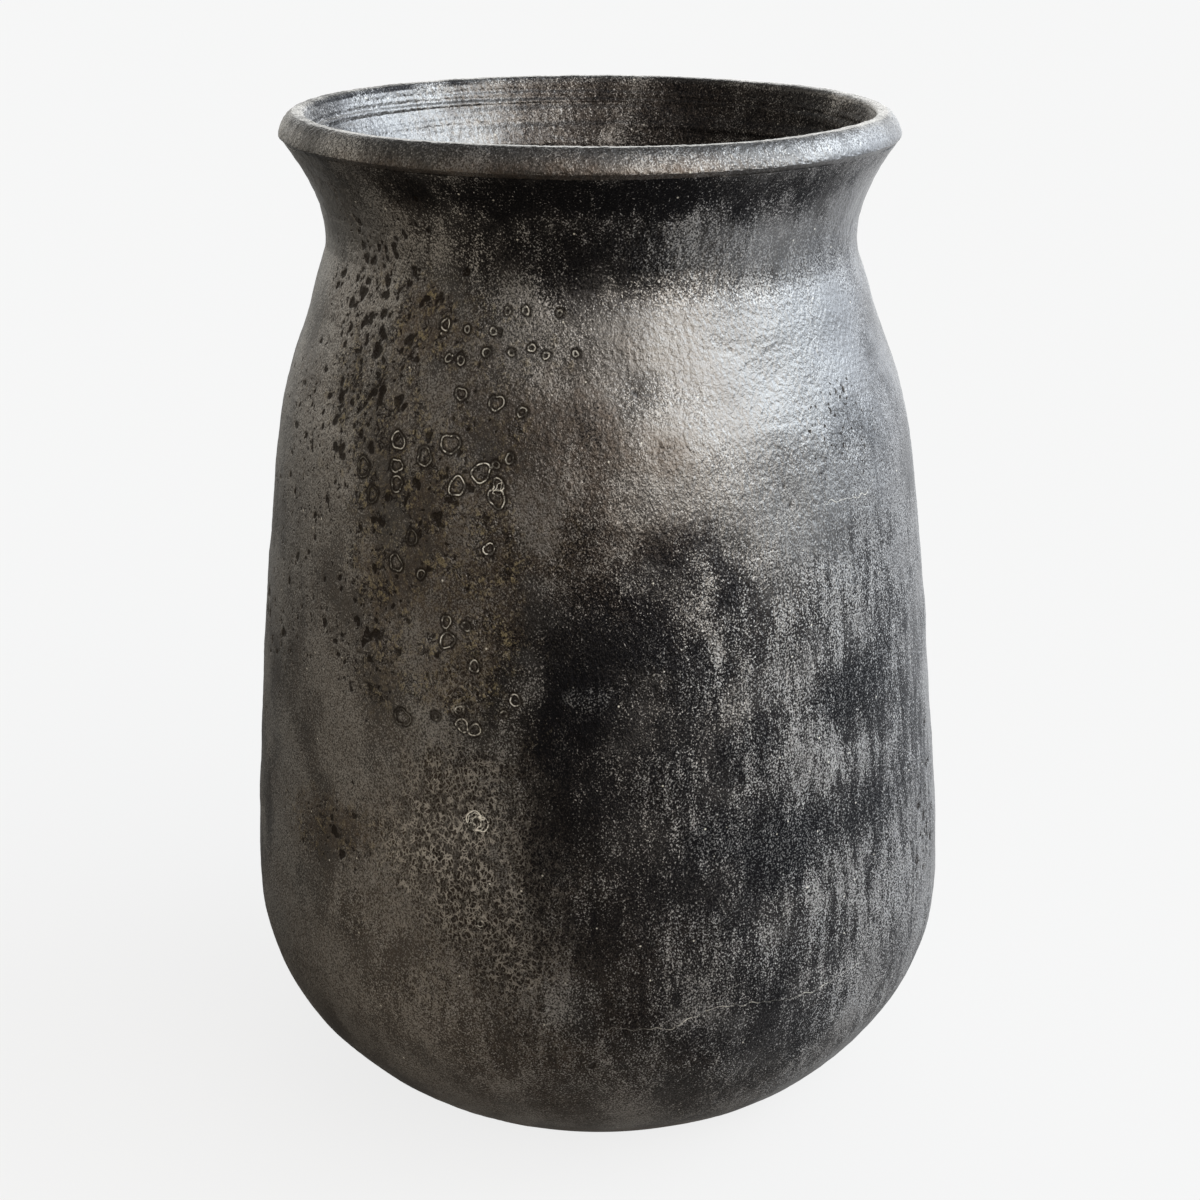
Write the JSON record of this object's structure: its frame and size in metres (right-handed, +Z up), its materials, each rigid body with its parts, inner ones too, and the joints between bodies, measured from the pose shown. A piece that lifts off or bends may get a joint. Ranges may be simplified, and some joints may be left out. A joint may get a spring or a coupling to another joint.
{
  "type": "black clay storage jar",
  "caption": "Tall black clay jar with a small flat foot, rounded heel, slightly tapering body, waisted neck and a flared, rolled rim; built of luted clay courses.",
  "frame": {"origin": "centre of the bounding box on the surface that the jar stands on, under the middle of the flat foot", "axes": "+Z up along the jar's height; +X to the right and +Y away from a viewer who faces the jar as pictured"},
  "size_m": [0.3632, 0.3632, 0.5],
  "materials": {
    "base_slab_clay": "unburnished, dry matte black-brown clay, worn at the foot",
    "heel_bowl_clay": "smoked black clay, dull satin, chalky scuffs",
    "lower_wall_course_clay": "smoked black clay, satin, fine cracks and pale streaks",
    "middle_wall_course_clay": "smoked black clay, satin graphite sheen with pits and blisters",
    "upper_wall_course_clay": "smoked black clay, graphite sheen with pits and blister rings",
    "shoulder_course_clay": "burnished black clay, silvery graphite sheen, fine orange-peel grain",
    "neck_collar_clay": "burnished black clay, satin, faint wheel lines",
    "rim_roll_clay": "burnished black clay, glossy silvery graphite sheen"
  },
  "bodies": {
    "root": {"base_slab": "base_slab_clay", "heel_bowl": "heel_bowl_clay", "lower_wall_course": "lower_wall_course_clay", "middle_wall_course": "middle_wall_course_clay", "upper_wall_course": "upper_wall_course_clay", "shoulder_course": "shoulder_course_clay", "neck_collar": "neck_collar_clay", "rim_roll": "rim_roll_clay"}
  },
  "joints": []
}
